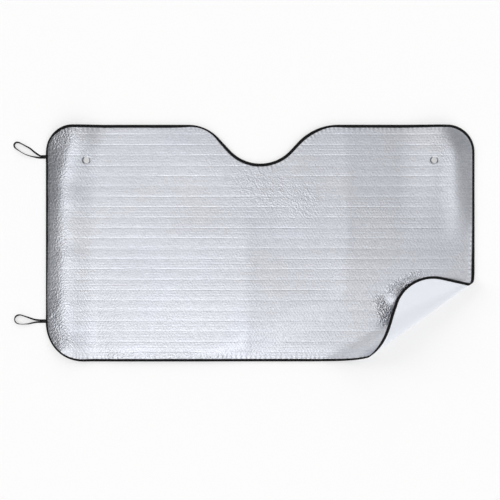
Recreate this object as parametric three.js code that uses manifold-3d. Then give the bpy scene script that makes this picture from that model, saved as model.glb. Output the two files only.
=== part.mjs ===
// A folding windscreen sunshade, lying open on its white back with the silver side up.
// Ribbed silver bubble foil and a white back film are held together by black tape, folded round
// the raw edge. Two flat elastic loops leave the left edge, and the lower right corner is rolled
// forward over the silver side. Millimetres; +X runs along the windscreen, +Y towards the mirror
// notch and +Z up, with the origin on the floor under the middle of the panel.

import * as THREE from "three";
import { mergeVertices } from "three/addons/utils/BufferGeometryUtils.js";
import Module from "manifold-3d";

const wasm = await Module();
wasm.setup();

const radians = THREE.MathUtils.degToRad;

// Outline of the bound panel, laid flat
const panel_length = 1450;
const panel_depth = 800;
const top_corner_radius = 92;
const bottom_corner_radius = 130;
const arc_step = radians(9);

// Mirror notch in the top edge
const notch_depth = 131;
const notch_bottom_radius = 139;
const notch_flank_angle = radians(47);
const left_shoulder_radius = 139;
const right_shoulder_radius = 186;

// Layers: each stands clear of the next by a thin gap
const tape_thickness = 0.5;
const layer_gap = 0.3;
const back_film_thickness = 0.5;
const foil_rim_thickness = 1.2;
const foil_groove_thickness = 1.6;

// Ribs pressed into the foil, running along the windscreen
const rib_pitch = 35;
const rib_height = 1;
const rib_facets = 4;

// Binding tape: the width seen on each face, and the bare foil pressed flat beside it
const tape_width = 10;
const pressed_margin = 2;

// Punched holes near the top corners
const hole_diameter = 20;
const hole_from_end = 138;
const hole_from_top = 120;
const hole_sides = 24;

// Corner roll: the crease is where the film stands upright, measured from the square corner.
// The film lifts off the floor, turns tightly at the crease and curls back over the foil. Each
// radius has one value at the bottom edge and one at the right end, because the roll is a cone.
const crease_distance = 206;
const crease_angle = radians(36);
const lift_radius_at_bottom = 80;
const lift_radius_at_side = 22;
const lift_end_angle = radians(65);
const crease_radius_at_bottom = 8;
const crease_radius_at_side = 28;
const crease_end_angle = radians(105);
const curl_radius_at_bottom = 78;
const curl_radius_at_side = 10;
const curl_end_angle = radians(216);
const roll_step = radians(14);
const least_radius = 5;

// Elastic loops, sewn under the tape on the left edge
const elastic_width = 6;
const elastic_thickness = 1.2;
const elastic_floor_gap = 0.2;
const upper_loop_from_top = 108;
const lower_loop_from_bottom = 136;
const elastic_steps = 48;

// Heights that follow from the layers
const back_low = tape_thickness + layer_gap;
const back_high = back_low + back_film_thickness;
const foil_low = back_high + layer_gap;
const foil_rim_high = foil_low + foil_rim_thickness;
const tape_high = foil_rim_high + layer_gap + tape_thickness;
const sheet_inset = tape_thickness + layer_gap;
const foil_high = foil_low + foil_groove_thickness + rib_height;

const right_end = panel_length / 2;
const left_end = -panel_length / 2;
const top_edge = panel_depth / 2;
const bottom_edge = -panel_depth / 2;

// The outline, walked anticlockwise as straights and tangent arcs. Each station has its place and
// its heading, so that any inset of the outline keeps the same stations.
function outlineStations() {
  const stations = [];
  let x = 0;
  let y = bottom_edge;
  let heading = 0;

  function straight(length) {
    x += length * Math.cos(heading);
    y += length * Math.sin(heading);
    stations.push({ x, y, heading });
  }

  function bend(radius, angle) {
    const steps = Math.ceil(Math.abs(angle) / arc_step);
    const signed_radius = radius * Math.sign(angle);
    for (let i = 0; i < steps; i++) {
      const next = heading + angle / steps;
      x += signed_radius * (Math.sin(next) - Math.sin(heading));
      y += signed_radius * (Math.cos(heading) - Math.cos(next));
      heading = next;
      stations.push({ x, y, heading });
    }
  }

  const quarter = Math.PI / 2;
  const rise = 1 - Math.cos(notch_flank_angle);
  const reach = Math.sin(notch_flank_angle);
  function flankLength(shoulder_radius) {
    return (notch_depth - (notch_bottom_radius + shoulder_radius) * rise) / reach;
  }
  function notchHalfWidth(shoulder_radius) {
    const along_flank = flankLength(shoulder_radius) * Math.cos(notch_flank_angle);
    return (notch_bottom_radius + shoulder_radius) * reach + along_flank;
  }
  const side_length = panel_depth - bottom_corner_radius - top_corner_radius;
  const half_top = panel_length / 2 - top_corner_radius;

  straight(panel_length / 2 - bottom_corner_radius);
  bend(bottom_corner_radius, quarter);
  straight(side_length);
  bend(top_corner_radius, quarter);
  straight(half_top - notchHalfWidth(right_shoulder_radius));
  bend(right_shoulder_radius, notch_flank_angle);
  straight(flankLength(right_shoulder_radius));
  bend(notch_bottom_radius, -2 * notch_flank_angle);
  straight(flankLength(left_shoulder_radius));
  bend(left_shoulder_radius, notch_flank_angle);
  straight(half_top - notchHalfWidth(left_shoulder_radius));
  bend(top_corner_radius, quarter);
  straight(side_length);
  bend(bottom_corner_radius, quarter);
  straight(panel_length / 2 - bottom_corner_radius);
  return stations;
}

function insetPoint({ x, y, heading }, inset) {
  return new THREE.Vector2(x - inset * Math.sin(heading), y + inset * Math.cos(heading));
}

// A flat plate with the panel's outline, drawn in from the edge by the inset
function outlinePlate(inset, low, high) {
  const shape = new THREE.Shape(outlineStations().map((station) => insetPoint(station, inset)));
  const plate = new THREE.ExtrudeGeometry(shape, { depth: high - low, bevelEnabled: false });
  return plate.translate(0, 0, low);
}

// Foil with crowned ribs along X, counted from the top edge down
function ribbedSlab() {
  const rib_count = Math.ceil(panel_depth / rib_pitch);
  const facet_count = rib_count * rib_facets;
  const top = [];
  for (let i = 0; i <= facet_count; i++) {
    const crown = Math.sin((Math.PI * (i % rib_facets)) / rib_facets);
    const height = foil_low + foil_groove_thickness + rib_height * crown;
    top.push(new THREE.Vector2(top_edge - (i * rib_pitch) / rib_facets, height));
  }
  const last = top_edge - rib_count * rib_pitch;
  const profile = [...top, new THREE.Vector2(last, foil_low), new THREE.Vector2(top_edge, foil_low)];
  const slab = new THREE.ExtrudeGeometry(new THREE.Shape(profile), {
    depth: panel_length,
    bevelEnabled: false,
  });
  const along = new THREE.Vector3(1, 0, 0);
  const across = new THREE.Vector3(0, 1, 0);
  const up = new THREE.Vector3(0, 0, 1);
  slab.applyMatrix4(new THREE.Matrix4().makeBasis(across, up, along));
  return slab.translate(left_end, 0, 0);
}

function holePunches() {
  const length = 2 * foil_high;
  return [left_end + hole_from_end, right_end - hole_from_end].map((x) => {
    const punch = new THREE.CylinderGeometry(hole_diameter / 2, hole_diameter / 2, length, hole_sides);
    punch.rotateX(Math.PI / 2);
    return punch.translate(x, top_edge - hole_from_top, foil_high / 2);
  });
}

// Joining and cutting of closed meshes
function solidOf(geometry) {
  const bare = geometry.clone();
  bare.deleteAttribute("normal");
  bare.deleteAttribute("uv");
  const merged = mergeVertices(bare, 1e-4);
  const vertProperties = merged.attributes.position.array;
  const triVerts = new Uint32Array(merged.index.array);
  return new wasm.Manifold(new wasm.Mesh({ numProp: 3, vertProperties, triVerts }));
}

function shellOf(solid) {
  const { numProp, numVert, vertProperties, triVerts } = solid.getMesh();
  const points = [];
  for (let i = 0; i < numVert; i++) {
    points.push([...vertProperties.subarray(i * numProp, i * numProp + 3)]);
  }
  const faces = [];
  for (let i = 0; i < triVerts.length; i += 3) {
    faces.push([triVerts[i], triVerts[i + 1], triVerts[i + 2]]);
  }
  return { points, faces };
}

function withHoles(solid) {
  return holePunches().reduce((cut, punch) => cut.subtract(solidOf(punch)), solid);
}

// A closed strip with a constant section, swept once round the outline. The section's points are
// an inset from the outline and a height.
function sweptRound(section) {
  const stations = outlineStations();
  const points = [];
  for (const station of stations) {
    for (const [inset, height] of section) {
      const { x, y } = insetPoint(station, inset);
      points.push([x, y, height]);
    }
  }
  const faces = [];
  const sides = section.length;
  stations.forEach((_, i) => {
    const here = i * sides;
    const next = ((i + 1) % stations.length) * sides;
    for (let j = 0; j < sides; j++) {
      const k = (j + 1) % sides;
      faces.push([here + j, next + j, next + k]);
      faces.push([here + j, next + k, here + k]);
    }
  });
  return { points, faces };
}

// The rolled corner. Its cross-section is a chain of stops, one for each roll step, at a distance
// along the crease line: flat is the distance over the film from the crease, out the distance over
// the floor, up the height, and angle the film's direction.
const square_corner = new THREE.Vector2(right_end, bottom_edge);
const along_crease = new THREE.Vector2(Math.cos(crease_angle), Math.sin(crease_angle));
const across_crease = new THREE.Vector2(Math.sin(crease_angle), -Math.cos(crease_angle));
const crease_start = -crease_distance / Math.tan(crease_angle);
const crease_end = crease_distance * Math.tan(crease_angle);

function rollStops(along) {
  const share = (along - crease_start) / (crease_end - crease_start);
  function radiusAt(bottom, side) {
    return Math.max(THREE.MathUtils.lerp(bottom, side, share), least_radius);
  }
  const lift = radiusAt(lift_radius_at_bottom, lift_radius_at_side);
  const crease = radiusAt(crease_radius_at_bottom, crease_radius_at_side);
  const curl = radiusAt(curl_radius_at_bottom, curl_radius_at_side);
  const start = -lift * lift_end_angle - crease * (Math.PI / 2 - lift_end_angle);
  const stops = [{ flat: start, out: start, up: 0, angle: 0 }];

  function turn(radius, end_angle) {
    const begin = stops.at(-1).angle;
    const steps = Math.ceil((end_angle - begin) / roll_step);
    for (let i = 1; i <= steps; i++) {
      const last = stops.at(-1);
      const angle = begin + ((end_angle - begin) * i) / steps;
      stops.push({
        flat: last.flat + radius * (angle - last.angle),
        out: last.out + radius * (Math.sin(angle) - Math.sin(last.angle)),
        up: last.up + radius * (Math.cos(last.angle) - Math.cos(angle)),
        angle,
      });
    }
  }

  turn(lift, lift_end_angle);
  turn(crease, crease_end_angle);
  turn(curl, curl_end_angle);
  const last = stops.at(-1);
  stops.push({
    flat: last.flat + crease_distance,
    out: last.out + crease_distance * Math.cos(last.angle),
    up: last.up + crease_distance * Math.sin(last.angle),
    angle: last.angle,
  });
  return stops;
}

function onFloor(along, out) {
  return square_corner
    .clone()
    .addScaledVector(along_crease, along)
    .addScaledVector(across_crease, out - crease_distance);
}

// Moves a point of the flat panel to its place on the rolled one
function rolled([x, y, height]) {
  const from_corner = new THREE.Vector2(x, y).sub(square_corner);
  const along = from_corner.dot(along_crease);
  const flat = from_corner.dot(across_crease) + crease_distance;
  const stops = rollStops(along);
  if (flat <= stops[0].flat) return [x, y, height];
  const i = stops.findIndex((stop) => stop.flat > flat);
  const [a, b] = [stops[i - 1], stops[i]];
  const share = (flat - a.flat) / (b.flat - a.flat);
  function between(value) {
    return THREE.MathUtils.lerp(value(a), value(b), share);
  }
  const out = between((stop) => stop.out - height * Math.sin(stop.angle));
  const up = between((stop) => stop.up + height * Math.cos(stop.angle));
  const place = onFloor(along, out);
  return [place.x, place.y, up];
}

// Splits the faces that cross an upright plane through two points, sharing the new corners. Faces
// are convex polygons here, so that one plane after another adds as few as it can.
function splitAlong({ points, faces }, from, to) {
  const on_plane = 1e-3;
  const direction = to.clone().sub(from).normalize();
  const sides = points.map(([x, y]) => {
    const side = direction.x * (y - from.y) - direction.y * (x - from.x);
    return Math.abs(side) < on_plane ? 0 : side;
  });
  const new_points = [...points];
  const cuts = new Map();
  function cutBetween(a, b) {
    const [low, high] = a < b ? [a, b] : [b, a];
    const key = `${low} ${high}`;
    if (!cuts.has(key)) {
      const share = sides[low] / (sides[low] - sides[high]);
      const corner = points[low].map((value, i) => value + share * (points[high][i] - value));
      cuts.set(key, new_points.push(corner) - 1);
    }
    return cuts.get(key);
  }
  const new_faces = faces.flatMap((face) => {
    const left = [];
    const right = [];
    face.forEach((a, i) => {
      const b = face[(i + 1) % face.length];
      if (sides[a] >= 0) left.push(a);
      if (sides[a] <= 0) right.push(a);
      if (sides[a] * sides[b] < 0) {
        const cut = cutBetween(a, b);
        left.push(cut);
        right.push(cut);
      }
    });
    const crosses = face.some((a) => sides[a] > 0) && face.some((a) => sides[a] < 0);
    return crosses ? [left, right] : [face];
  });
  return { points: new_points, faces: new_faces };
}

function withCornerRolled(shell) {
  const at_start = rollStops(crease_start);
  const at_end = rollStops(crease_end);
  const split = at_start.slice(0, -1).reduce((parts, stop, i) => {
    return splitAlong(parts, onFloor(crease_start, stop.flat), onFloor(crease_end, at_end[i].flat));
  }, shell);
  return { points: split.points.map(rolled), faces: split.faces };
}

function geometryOf({ points, faces }) {
  const triangles = faces.flatMap((face) => {
    return face.slice(2).map((corner, i) => [face[0], face[i + 1], corner]);
  });
  const geometry = new THREE.BufferGeometry();
  geometry.setAttribute("position", new THREE.Float32BufferAttribute(points.flat(), 3));
  geometry.setIndex(triangles.flat());
  const flat_shaded = geometry.toNonIndexed();
  flat_shaded.computeVertexNormals();
  return flat_shaded;
}

// Silver bubble foil: ribbed inside the binding, pressed thin under it, with two punched holes
function frontFoilSheet() {
  const ribbed_area = outlinePlate(tape_width + pressed_margin, foil_low, foil_high + rib_height);
  const ribbed = solidOf(ribbedSlab()).intersect(solidOf(ribbed_area));
  const rim = solidOf(outlinePlate(sheet_inset, foil_low, foil_rim_high));
  return geometryOf(withCornerRolled(shellOf(withHoles(ribbed.add(rim)))));
}

// Plain white film against the back of the foil, punched with the same holes
function backFilmSheet() {
  const film = solidOf(outlinePlate(sheet_inset, back_low, back_high));
  return geometryOf(withCornerRolled(shellOf(withHoles(film))));
}

// One tape folded round the raw edge of both sheets
function edgeBinding() {
  const section = [
    [tape_width, 0],
    [tape_thickness, 0],
    [0, tape_thickness],
    [0, tape_high - tape_thickness],
    [tape_thickness, tape_high],
    [tape_width, tape_high],
    [tape_width, tape_high - tape_thickness],
    [tape_thickness, tape_high - tape_thickness],
    [tape_thickness, tape_thickness],
    [tape_width, tape_thickness],
  ];
  return geometryOf(withCornerRolled(sweptRound(section)));
}

// Where the outline's left side lies at a height above the middle, on its straight or a corner
function leftSideAt(y) {
  const into_bottom = Math.max(bottom_edge + bottom_corner_radius - y, 0);
  const into_top = Math.max(y - (top_edge - top_corner_radius), 0);
  const bottom_sag = bottom_corner_radius - Math.sqrt(bottom_corner_radius ** 2 - into_bottom ** 2);
  const top_sag = top_corner_radius - Math.sqrt(top_corner_radius ** 2 - into_top ** 2);
  return left_end + bottom_sag + top_sag;
}

// A flat elastic standing on its edge on the floor, out from the tape and back. The route's points
// are measured from the place on the tape between its two ends.
function elasticLoop(y, route) {
  const half_width = elastic_width / 2;
  const half_thickness = elastic_thickness / 2;
  const nip = half_thickness / 2;
  const section = new THREE.Shape([
    new THREE.Vector2(-half_width + nip, -half_thickness),
    new THREE.Vector2(half_width - nip, -half_thickness),
    new THREE.Vector2(half_width, -nip),
    new THREE.Vector2(half_width, nip),
    new THREE.Vector2(half_width - nip, half_thickness),
    new THREE.Vector2(-half_width + nip, half_thickness),
    new THREE.Vector2(-half_width, nip),
    new THREE.Vector2(-half_width, -nip),
  ]);
  const height = half_width + elastic_floor_gap;
  const points = route.map(([out, up]) => new THREE.Vector3(out, up, height));
  const path = new THREE.CatmullRomCurve3(points, false, "centripetal");
  const band = new THREE.ExtrudeGeometry(section, { extrudePath: path, steps: elastic_steps });
  return band.translate(leftSideAt(y) - layer_gap, y, 0);
}

const upper_loop_route = [
  [0, 3.2],
  [-7, 3.2],
  [-15, 4],
  [-26, 9],
  [-41, 19],
  [-55, 29.5],
  [-67, 36],
  [-81, 43.5],
  [-92, 48.5],
  [-101, 48.5],
  [-107, 42],
  [-106, 33.5],
  [-99, 26.5],
  [-88, 19],
  [-72, 9.5],
  [-51, 2],
  [-34, -1.5],
  [-20, -3],
  [-7, -3.2],
  [0, -3.2],
];

const lower_loop_route = [
  [0, 3.2],
  [-7, 3.2],
  [-20, 3],
  [-36, 5],
  [-46, 8],
  [-60, 13],
  [-75, 18],
  [-86, 21],
  [-97, 19.5],
  [-104.5, 11.5],
  [-105, 1],
  [-98, -7],
  [-86, -10],
  [-74, -10],
  [-58, -8.8],
  [-45, -5.8],
  [-32, -3.6],
  [-18, -3],
  [-7, -3.2],
  [0, -3.2],
];

const silver_foil = new THREE.MeshStandardMaterial({ color: 0xd2d5df, roughness: 0.35, metalness: 1 });
const white_film = new THREE.MeshStandardMaterial({ color: 0xe9ecf2, roughness: 0.4, metalness: 0 });
const black_tape = new THREE.MeshStandardMaterial({ color: 0x16171a, roughness: 0.8, metalness: 0 });
const black_elastic = new THREE.MeshStandardMaterial({ color: 0x121214, roughness: 0.9, metalness: 0 });

const upper_loop_y = top_edge - upper_loop_from_top;
const lower_loop_y = bottom_edge + lower_loop_from_bottom;

const sunshade = new THREE.Group();
const pieces = [
  ["front_foil_sheet", frontFoilSheet(), silver_foil],
  ["back_film_sheet", backFilmSheet(), white_film],
  ["edge_binding", edgeBinding(), black_tape],
  ["upper_elastic_loop", elasticLoop(upper_loop_y, upper_loop_route), black_elastic],
  ["lower_elastic_loop", elasticLoop(lower_loop_y, lower_loop_route), black_elastic],
];
for (const [name, geometry, material] of pieces) {
  const piece = new THREE.Mesh(geometry, material);
  piece.name = name;
  sunshade.add(piece);
}

export default sunshade;
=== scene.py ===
# A folding windscreen sunshade, lying open on its white back with one corner rolled forward. The
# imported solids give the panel's edges, and other places are measured from those or from its middle.
# Metres, +X along the windscreen, +Y towards the mirror notch, +Z up.

import math

import bpy
import numpy as np
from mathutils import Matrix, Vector
from mathutils.geometry import delaunay_2d_cdt
from mathutils.kdtree import KDTree


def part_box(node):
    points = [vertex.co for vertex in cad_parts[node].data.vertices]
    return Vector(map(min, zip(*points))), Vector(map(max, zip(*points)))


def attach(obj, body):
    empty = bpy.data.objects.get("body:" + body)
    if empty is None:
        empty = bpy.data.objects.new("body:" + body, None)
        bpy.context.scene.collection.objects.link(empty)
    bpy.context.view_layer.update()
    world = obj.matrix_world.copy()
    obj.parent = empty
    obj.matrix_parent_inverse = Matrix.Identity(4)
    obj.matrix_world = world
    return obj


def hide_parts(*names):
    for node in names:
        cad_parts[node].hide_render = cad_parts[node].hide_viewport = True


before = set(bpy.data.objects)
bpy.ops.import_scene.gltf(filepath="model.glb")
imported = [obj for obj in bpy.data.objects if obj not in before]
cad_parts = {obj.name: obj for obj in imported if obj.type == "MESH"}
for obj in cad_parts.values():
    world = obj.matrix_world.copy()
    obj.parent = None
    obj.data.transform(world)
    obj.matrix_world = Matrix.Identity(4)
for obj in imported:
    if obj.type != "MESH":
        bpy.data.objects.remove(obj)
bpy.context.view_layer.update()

scene = bpy.context.scene

# Camera: straight above the floor, a little left of and below the panel's middle, and far enough
# away that the long panel fills most of the frame's width.
view_point = Vector((-0.0345, -0.0232, 3.3))
floor_width_in_frame = 1.693
sensor_width = 36.0


def new_object(name, data):
    """An object at the origin that holds this data, linked into the scene"""
    thing = bpy.data.objects.new(name, data)
    scene.collection.objects.link(thing)
    return thing


camera_data = bpy.data.cameras.new("camera")
camera_data.sensor_width = sensor_width
camera_data.lens = sensor_width * view_point.z / floor_width_in_frame
camera = new_object("camera", camera_data)
camera.location = view_point
scene.camera = camera
scene.view_settings.view_transform = "Standard"


# Elastic loops: two flat bands of braided black elastic that hold the shade when it is folded up.
# Both ends of each are sewn flat under the binding, side by side. Each band then turns up onto its
# edge, leans, and runs out over the floor and back.
elastic_width = 0.006
elastic_thickness = 0.0012
elastic_clearance = 0.0001
elastic_sewn_length = 0.009
elastic_ridges = 5
elastic_ridge_depth = 0.00012
braid_pitch = 0.0016
braid_slant = math.radians(35)
elastic_side_points = 40
elastic_side_powers = (0.45, 0.3)
elastic_step = 0.0012
lean_smoothing = 9
loop_root_gap = 0.0003
left_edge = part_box("edge_binding")[0].x
loop_root = left_edge - loop_root_gap

upper_loop_y = 0.292
upper_loop_route = [
    (0.0000, 0.0031),
    (-0.0070, 0.0031),
    (-0.0190, 0.0033),
    (-0.0280, 0.0085),
    (-0.0410, 0.0180),
    (-0.0550, 0.0295),
    (-0.0670, 0.0360),
    (-0.0810, 0.0435),
    (-0.0920, 0.0485),
    (-0.1010, 0.0485),
    (-0.1070, 0.0420),
    (-0.1060, 0.0335),
    (-0.0990, 0.0265),
    (-0.0880, 0.0190),
    (-0.0720, 0.0095),
    (-0.0510, 0.0020),
    (-0.0360, -0.0010),
    (-0.0220, -0.0029),
    (-0.0070, -0.0031),
    (0.0000, -0.0031),
]

lower_loop_y = -0.264
lower_loop_route = [
    (0.0000, 0.0031),
    (-0.0070, 0.0031),
    (-0.0200, 0.0031),
    (-0.0360, 0.0050),
    (-0.0460, 0.0080),
    (-0.0600, 0.0130),
    (-0.0750, 0.0180),
    (-0.0860, 0.0210),
    (-0.0970, 0.0195),
    (-0.1045, 0.0115),
    (-0.1050, 0.0010),
    (-0.0980, -0.0070),
    (-0.0860, -0.0100),
    (-0.0740, -0.0100),
    (-0.0580, -0.0088),
    (-0.0450, -0.0058),
    (-0.0320, -0.0036),
    (-0.0200, -0.0031),
    (-0.0070, -0.0031),
    (0.0000, -0.0031),
]

# How far each band leans over from standing on its edge, in degrees, at shares of its length
upper_loop_lean = [(0, 90), (0.11, 90), (0.17, 66), (0.25, 54), (0.34, 34), (0.40, 34), (0.44, 62),
                   (0.49, 80), (0.53, 60), (0.58, 26), (0.68, 16), (0.76, 24), (0.84, 50), (0.89, 90),
                   (1, 90)]
lower_loop_lean = [(0, 90), (0.12, 90), (0.18, 60), (0.25, 46), (0.33, 28), (0.39, 26), (0.43, 60),
                   (0.47, 54), (0.50, 26), (0.54, 48), (0.58, 34), (0.62, 14), (0.67, 14), (0.73, 40),
                   (0.82, 56), (0.88, 90), (1, 90)]


def in_between(a, b, low, high, t):
    """Goes from a to b as t goes from low to high"""
    return ((high - t) * a + (t - low) * b) / (high - low)


def smooth_route(corners, step):
    """A centripetal Catmull-Rom curve through the corners, with points about a step apart"""
    first = 2 * corners[0] - corners[1]
    last = 2 * corners[-1] - corners[-2]
    chain = np.vstack([first, corners, last])
    points = []
    for before, start, end, after in zip(chain, chain[1:], chain[2:], chain[3:]):
        legs = np.diff([before, start, end, after], axis=0)
        k0, k1, k2, k3 = np.cumsum([0, *(np.linalg.norm(leg) ** 0.5 for leg in legs)])
        steps = max(2, round(np.linalg.norm(end - start) / step))
        for t in np.linspace(k1, k2, steps, endpoint=False):
            first_leg = in_between(before, start, k0, k1, t)
            middle_leg = in_between(start, end, k1, k2, t)
            last_leg = in_between(end, after, k2, k3, t)
            early = in_between(first_leg, middle_leg, k0, k2, t)
            late = in_between(middle_leg, last_leg, k1, k3, t)
            points.append(in_between(early, late, k1, k2, t))
    return np.vstack([points, corners[-1]])


def unit(vectors):
    """The same directions, each with a length of 1"""
    return vectors / np.linalg.norm(vectors, axis=1, keepdims=True)


def new_piece(name, points, faces, material, flat):
    """A smooth shaded mesh object at the origin. flat holds a place on the unworked cloth or film
    for each point, which its material's pattern follows."""
    mesh = bpy.data.meshes.new(name)
    mesh.from_pydata(points.tolist(), [], [list(map(int, face)) for face in faces])
    mesh.validate()
    mesh.shade_smooth()
    mesh.materials.append(material)
    places = mesh.attributes.new("flat", "FLOAT_VECTOR", "POINT")
    places.data.foreach_set("vector", np.ascontiguousarray(flat, np.float32).ravel())
    return new_object(name, mesh)


def skin(rows, sides, closed=False):
    """Quads over a swept section that has this many points in each of its rows"""
    faces = []
    for row in range(rows if closed else rows - 1):
        here = row * sides
        after = (row + 1) % rows * sides
        for i in range(sides):
            j = (i + 1) % sides
            faces.append((here + i, here + j, after + j, after + i))
    return faces


def linear(hex_colour):
    """Turns an sRGB hex colour into the linear values that shaders take"""
    channels = [int(hex_colour[i:i + 2], 16) / 255 for i in (1, 3, 5)]
    return (*(c / 12.92 if c <= 0.04045 else ((c + 0.055) / 1.055) ** 2.4 for c in channels), 1)


def add_node(tree, kind, inputs=None, **settings):
    """Adds a node with its settings. An input is a value, an output to link, or a node, of which
    the first output in use is linked."""
    node = tree.nodes.new(kind)
    for name, value in settings.items():
        setattr(node, name, value)
    for socket, value in (inputs or {}).items():
        if isinstance(value, bpy.types.Node):
            value = next(output for output in value.outputs if output.enabled)
        if isinstance(value, bpy.types.NodeSocket):
            tree.links.new(value, node.inputs[socket])
        else:
            node.inputs[socket].default_value = value
    return node


def new_material(name):
    """A material, and its node tree without any nodes"""
    material = bpy.data.materials.new(name)
    material.use_nodes = True
    material.node_tree.nodes.clear()
    return material, material.node_tree


def wave_scale(period):
    """A Wave Texture's scale for stripes a period apart, in metres"""
    return math.pi / (10 * period)


def grain_scale(size):
    """A Noise or Voronoi Texture's scale for grains of about this size, in metres"""
    return 1 / size


def braided_elastic():
    """Braided polyester over rubber cores: matt black, with a fine slanting braid that is drawn
    at 1.6 mm, about twice its real pitch, so that it shows"""
    material, tree = new_material("braided_elastic")
    flat = add_node(tree, "ShaderNodeAttribute", attribute_name="flat").outputs["Vector"]
    slants = []
    for angle in (braid_slant, -braid_slant):
        turned = add_node(tree, "ShaderNodeMapping", {"Vector": flat, "Rotation": (0, 0, angle)})
        slant = add_node(tree, "ShaderNodeTexWave", {"Vector": turned,
                                                     "Scale": wave_scale(braid_pitch)})
        slants.append(slant.outputs["Fac"])
    braid = add_node(tree, "ShaderNodeMath", {0: slants[0], 1: slants[1]}, operation="MAXIMUM")
    bump = add_node(tree, "ShaderNodeBump", {"Height": braid, "Distance": 0.00012, "Strength": 0.8})
    colour = add_node(tree, "ShaderNodeMix", {"Factor": braid, 6: linear("#050506"),
                                              7: linear("#0d0d0f")}, data_type="RGBA")
    surface = add_node(tree, "ShaderNodeBsdfPrincipled", {
        "Base Color": colour,
        "Roughness": 0.85,
        "Specular IOR Level": 0.3,
        "Sheen Weight": 0.03,
        "Sheen Roughness": 0.5,
        "Normal": bump,
    })
    add_node(tree, "ShaderNodeOutputMaterial", {"Surface": surface})
    return material


def elastic_loop(name, y, route, lean, material):
    """Sweeps the band's ridged section along its route, leaning as far as the list says"""
    out_of_hem = [(elastic_sewn_length, route[0][1]), *route, (elastic_sewn_length, route[-1][1])]
    corners = np.array([(loop_root + out, y + up) for out, up in out_of_hem])
    line = smooth_route(corners, elastic_step)
    along = np.concatenate([[0], np.cumsum(np.linalg.norm(np.diff(line, axis=0), axis=1))])
    shares, degrees = zip(*lean)
    angles = np.interp(along / along[-1], shares, np.radians(degrees))
    padded = np.pad(angles, lean_smoothing // 2, mode="edge")
    softened = np.convolve(padded, np.ones(lean_smoothing) / lean_smoothing, mode="valid")
    half_width = elastic_width / 2
    half_thickness = elastic_thickness / 2
    height = half_width * np.cos(softened) + half_thickness * np.sin(softened) + elastic_clearance
    centre = np.column_stack([line, height])

    tangent = unit(np.gradient(centre, axis=0))
    outward = unit(np.cross(tangent, (0, 0, 1)))
    up = np.cross(outward, tangent)
    cosine = np.cos(softened)[:, None]
    sine = np.sin(softened)[:, None]
    wide = up * cosine - outward * sine
    thick = outward * cosine + up * sine

    turn = np.linspace(0, 2 * np.pi, elastic_side_points, endpoint=False)
    across_power, through_power = elastic_side_powers
    across = np.sign(np.cos(turn)) * np.abs(np.cos(turn)) ** across_power * half_width
    ridge = elastic_ridge_depth * np.cos(2 * np.pi * elastic_ridges * across / elastic_width)
    flank = np.sign(np.sin(turn)) * np.abs(np.sin(turn)) ** through_power
    through = flank * (half_thickness - elastic_ridge_depth / 2 + ridge / 2)
    points = (centre[:, None] + across[None, :, None] * wide[:, None]
              + through[None, :, None] * thick[:, None])
    flat = np.stack(np.broadcast_arrays(along[:, None], across[None, :], 0.0), axis=-1)

    rows, sides = len(line), elastic_side_points
    faces = skin(rows, sides)
    faces.append(range(sides - 1, -1, -1))
    faces.append(range((rows - 1) * sides, rows * sides))
    loop = new_piece(name, points.reshape(-1, 3), faces, material, flat.reshape(-1, 3))
    print(name, "length", round(float(along[-1]), 4))
    return loop, centre.tolist()


elastic = braided_elastic()
upper_loop, upper_loop_line = elastic_loop(
    "upper_elastic_band", upper_loop_y, upper_loop_route, upper_loop_lean, elastic)
lower_loop, lower_loop_line = elastic_loop(
    "lower_elastic_band", lower_loop_y, lower_loop_route, lower_loop_lean, elastic)
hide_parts("upper_elastic_loop")
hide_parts("lower_elastic_loop")
for loop in (upper_loop, lower_loop):
    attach(loop, "root")


# Panel: the shape that the foil, the white film and the binding share. It is one outline of
# straights and tangent arcs, cut from flat stock, and one corner of it is rolled forward in a cone.
# The margins and the folding creases keep it from lying quite flat.
low_corner, high_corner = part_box("edge_binding")
right_edge = high_corner.x
top_edge = high_corner.y
bottom_edge = low_corner.y
top_corner_radius = 0.092
bottom_corner_radius = 0.130
notch_depth = 0.131
notch_bottom_radius = 0.139
notch_flank_angle = math.radians(47)
left_shoulder_radius = 0.139
right_shoulder_radius = 0.186
outline_step = 0.002

crease_distance = 0.206
crease_angle = math.radians(36)
lift_radii = (0.080, 0.022)
crease_radii = (0.008, 0.028)
curl_radii = (0.078, 0.010)
least_radius = 0.005
lift_end_angle = math.radians(65)
crease_end_angle = math.radians(105)
curl_end_angle = math.radians(216)
roll_turns = np.diff([0, lift_end_angle, crease_end_angle, curl_end_angle])
crease_start = -crease_distance / math.tan(crease_angle)
crease_end = crease_distance * math.tan(crease_angle)

tape_width = 0.010
front_leg_full_width = 0.0102
front_leg_loss_at_left = 0.0032
front_leg_loss_at_right = 0.0016
front_leg_loss_at_bottom = 0.0018
front_leg_wander = 0.04
front_leg_wander_length = 0.06

# Where the margins begin and where they are full, as distances from the panel's middle
side_margin = (0.60, 0.72)
right_margin_foot = (-0.10, 0.0)
bottom_margin = (-0.30, -0.38)
bottom_margin_end = (0.50, 0.35)
below_top_corners = 0.34

# Bends where the tape's front leg is narrower: a place, its reach and the share that is lost
narrow_places = [((-0.190, 0.385), 0.070, 0.45), ((-0.665, -0.350), 0.070, 0.30),
                 ((0.360, -0.395), 0.080, 0.30), ((-0.720, -0.160), 0.110, 0.32),
                 ((-0.700, 0.345), 0.050, 0.20), ((0.236, 0.390), 0.040, 0.25),
                 ((0.610, 0.400), 0.080, 0.12)]

hole_radius = 0.010
hole_from_side = 0.138
hole_from_top = 0.120
hole_centres = [(left_edge + hole_from_side, top_edge - hole_from_top),
                (right_edge - hole_from_side, top_edge - hole_from_top)]


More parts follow.
